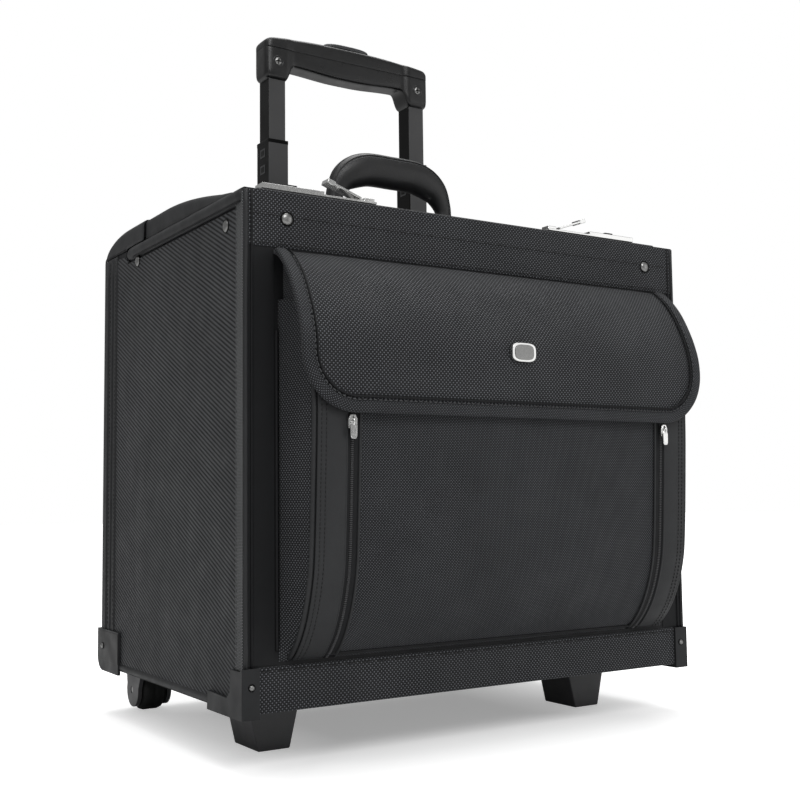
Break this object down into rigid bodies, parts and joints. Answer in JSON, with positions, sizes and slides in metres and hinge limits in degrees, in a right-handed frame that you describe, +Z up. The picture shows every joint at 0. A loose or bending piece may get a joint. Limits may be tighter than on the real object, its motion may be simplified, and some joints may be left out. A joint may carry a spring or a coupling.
{
  "type": "rolling flight case",
  "caption": "Soft-covered pilot flight case with hinged lid, front pocket under a flap, carry handle, lid latches, telescopic trolley handle, feet and rear wheels.",
  "frame": {"origin": "on the floor under the centre of the whole part's bounding box", "axes": "+Z up, -Y towards the pocket side (front), +X to the right seen from the front"},
  "size_m": [0.466, 0.391, 0.686],
  "materials": {
    "weave_fabric": "dark charcoal ballistic weave",
    "smooth_binding": "smooth dark coated binding",
    "handle_leather": "smooth satin black",
    "guard_plastic": "moulded grey",
    "black_plastic": "moulded black, fine grain",
    "tube_metal": "black anodised",
    "bright_metal": "bright nickel plate",
    "dark_metal": "blackened",
    "wheel_rubber": "matte"
  },
  "bodies": {
    "case": {"base_board": "smooth_binding", "front_panel": "weave_fabric", "rear_panel": "weave_fabric", "side_panel_left": "weave_fabric", "side_panel_right": "weave_fabric", "side_rim_left": "smooth_binding", "side_rim_right": "smooth_binding", "rear_deck": "smooth_binding", "inner_rear_wall": "smooth_binding", "front_rail": "smooth_binding", "corner_guard_front_left": "guard_plastic", "corner_guard_front_right": "guard_plastic", "corner_guard_rear_left": "guard_plastic", "corner_guard_rear_right": "guard_plastic", "foot_left": "black_plastic", "foot_right": "black_plastic", "wheel_housing_left": "black_plastic", "wheel_housing_right": "black_plastic", "wheel_axle_left": "bright_metal", "wheel_axle_right": "bright_metal", "trolley_base_bracket": "black_plastic", "trolley_outer_tube_left": "tube_metal", "trolley_outer_tube_right": "tube_metal", "trolley_bezel": "black_plastic", "lock_body_left": "bright_metal", "lock_body_right": "bright_metal", "front_rivet_left": "bright_metal", "front_rivet_right": "bright_metal", "pocket_shell": "weave_fabric", "zip_left": "smooth_binding", "zip_right": "smooth_binding"},
    "lid": {"lid_panel": "weave_fabric", "handle_bracket_left": "bright_metal", "handle_bracket_right": "bright_metal", "lock_strike_left": "bright_metal", "lock_strike_right": "bright_metal"},
    "flap": {"pocket_flap": "weave_fabric", "badge_plate": "bright_metal"},
    "trolley_lower": {"trolley_middle_tube_left": "tube_metal", "trolley_middle_tube_right": "tube_metal", "trolley_collar_left": "black_plastic", "trolley_collar_right": "black_plastic"},
    "trolley_upper": {"trolley_inner_tube_left": "tube_metal", "trolley_inner_tube_right": "tube_metal", "grip_lower": "black_plastic", "grip_upper": "black_plastic", "grip_screw_left": "dark_metal", "grip_screw_right": "dark_metal"},
    "release_button": {"release_button": "guard_plastic"},
    "carry_handle": {"carry_handle": "handle_leather"},
    "wheel_left": {"wheel_tyre_left": "wheel_rubber", "wheel_hub_left": "black_plastic"},
    "wheel_right": {"wheel_tyre_right": "wheel_rubber", "wheel_hub_right": "black_plastic"},
    "hasp_left": {"hasp_left": "bright_metal"},
    "hasp_right": {"hasp_right": "bright_metal"},
    "lock_button_left": {"lock_button_left": "dark_metal"},
    "lock_button_right": {"lock_button_right": "dark_metal"},
    "zip_pull_left": {"zip_pull_left": "bright_metal"},
    "zip_pull_right": {"zip_pull_right": "bright_metal"}
  },
  "joints": [
    {"name": "lid_hinge", "type": "hinge", "parent": "case", "child": "lid", "pos_m": [0, 0.08205, 0.468], "axis": [-1, 0, 0], "range_deg": [0, 80]},
    {"name": "flap_hinge", "type": "hinge", "parent": "case", "child": "flap", "pos_m": [0, -0.14045, 0.401], "axis": [-1, 0, 0], "range_deg": [0, 95]},
    {"name": "carry_handle_swing", "type": "hinge", "parent": "lid", "child": "carry_handle", "pos_m": [0, 0.01355, 0.48], "axis": [1, 0, 0], "range_deg": [-78, 78]},
    {"name": "trolley_lower_slide", "type": "slide", "parent": "case", "child": "trolley_lower", "axis": [0, 0, 1], "range_m": [-0.094, 0.17]},
    {"name": "trolley_upper_slide", "type": "slide", "parent": "trolley_lower", "child": "trolley_upper", "axis": [0, 0, 1], "range_m": [-0.062, 0.17]},
    {"name": "release_button_press", "type": "slide", "parent": "trolley_upper", "child": "release_button", "axis": [0, 0, -1], "range_m": [0, 0.003], "stiffness_N_per_m": 400},
    {"name": "wheel_left_spin", "type": "hinge", "parent": "case", "child": "wheel_left", "pos_m": [-0.187, 0.17555, 0.02], "axis": [1, 0, 0], "continuous": true},
    {"name": "wheel_right_spin", "type": "hinge", "parent": "case", "child": "wheel_right", "pos_m": [0.187, 0.17555, 0.02], "axis": [1, 0, 0], "continuous": true},
    {"name": "hasp_left_swing", "type": "hinge", "parent": "case", "child": "hasp_left", "pos_m": [-0.12, -0.12445, 0.4536], "axis": [0, 1, 0], "range_deg": [-19, 25], "stiffness_Nm_per_rad": 0.08},
    {"name": "hasp_right_swing", "type": "hinge", "parent": "case", "child": "hasp_right", "pos_m": [0.098, -0.12445, 0.4536], "axis": [0, -1, 0], "range_deg": [-19, 25], "stiffness_Nm_per_rad": 0.08},
    {"name": "lock_button_left_slide", "type": "slide", "parent": "case", "child": "lock_button_left", "axis": [-1, 0, 0], "range_m": [0, 0.004], "stiffness_N_per_m": 50},
    {"name": "lock_button_right_slide", "type": "slide", "parent": "case", "child": "lock_button_right", "axis": [1, 0, 0], "range_m": [0, 0.004], "stiffness_N_per_m": 50},
    {"name": "zip_pull_left_slide", "type": "slide", "parent": "case", "child": "zip_pull_left", "axis": [0, 0.048, -0.9988], "range_m": [0, 0.09]},
    {"name": "zip_pull_right_slide", "type": "slide", "parent": "case", "child": "zip_pull_right", "axis": [0, 0.048, -0.9988], "range_m": [0, 0.09]}
  ]
}
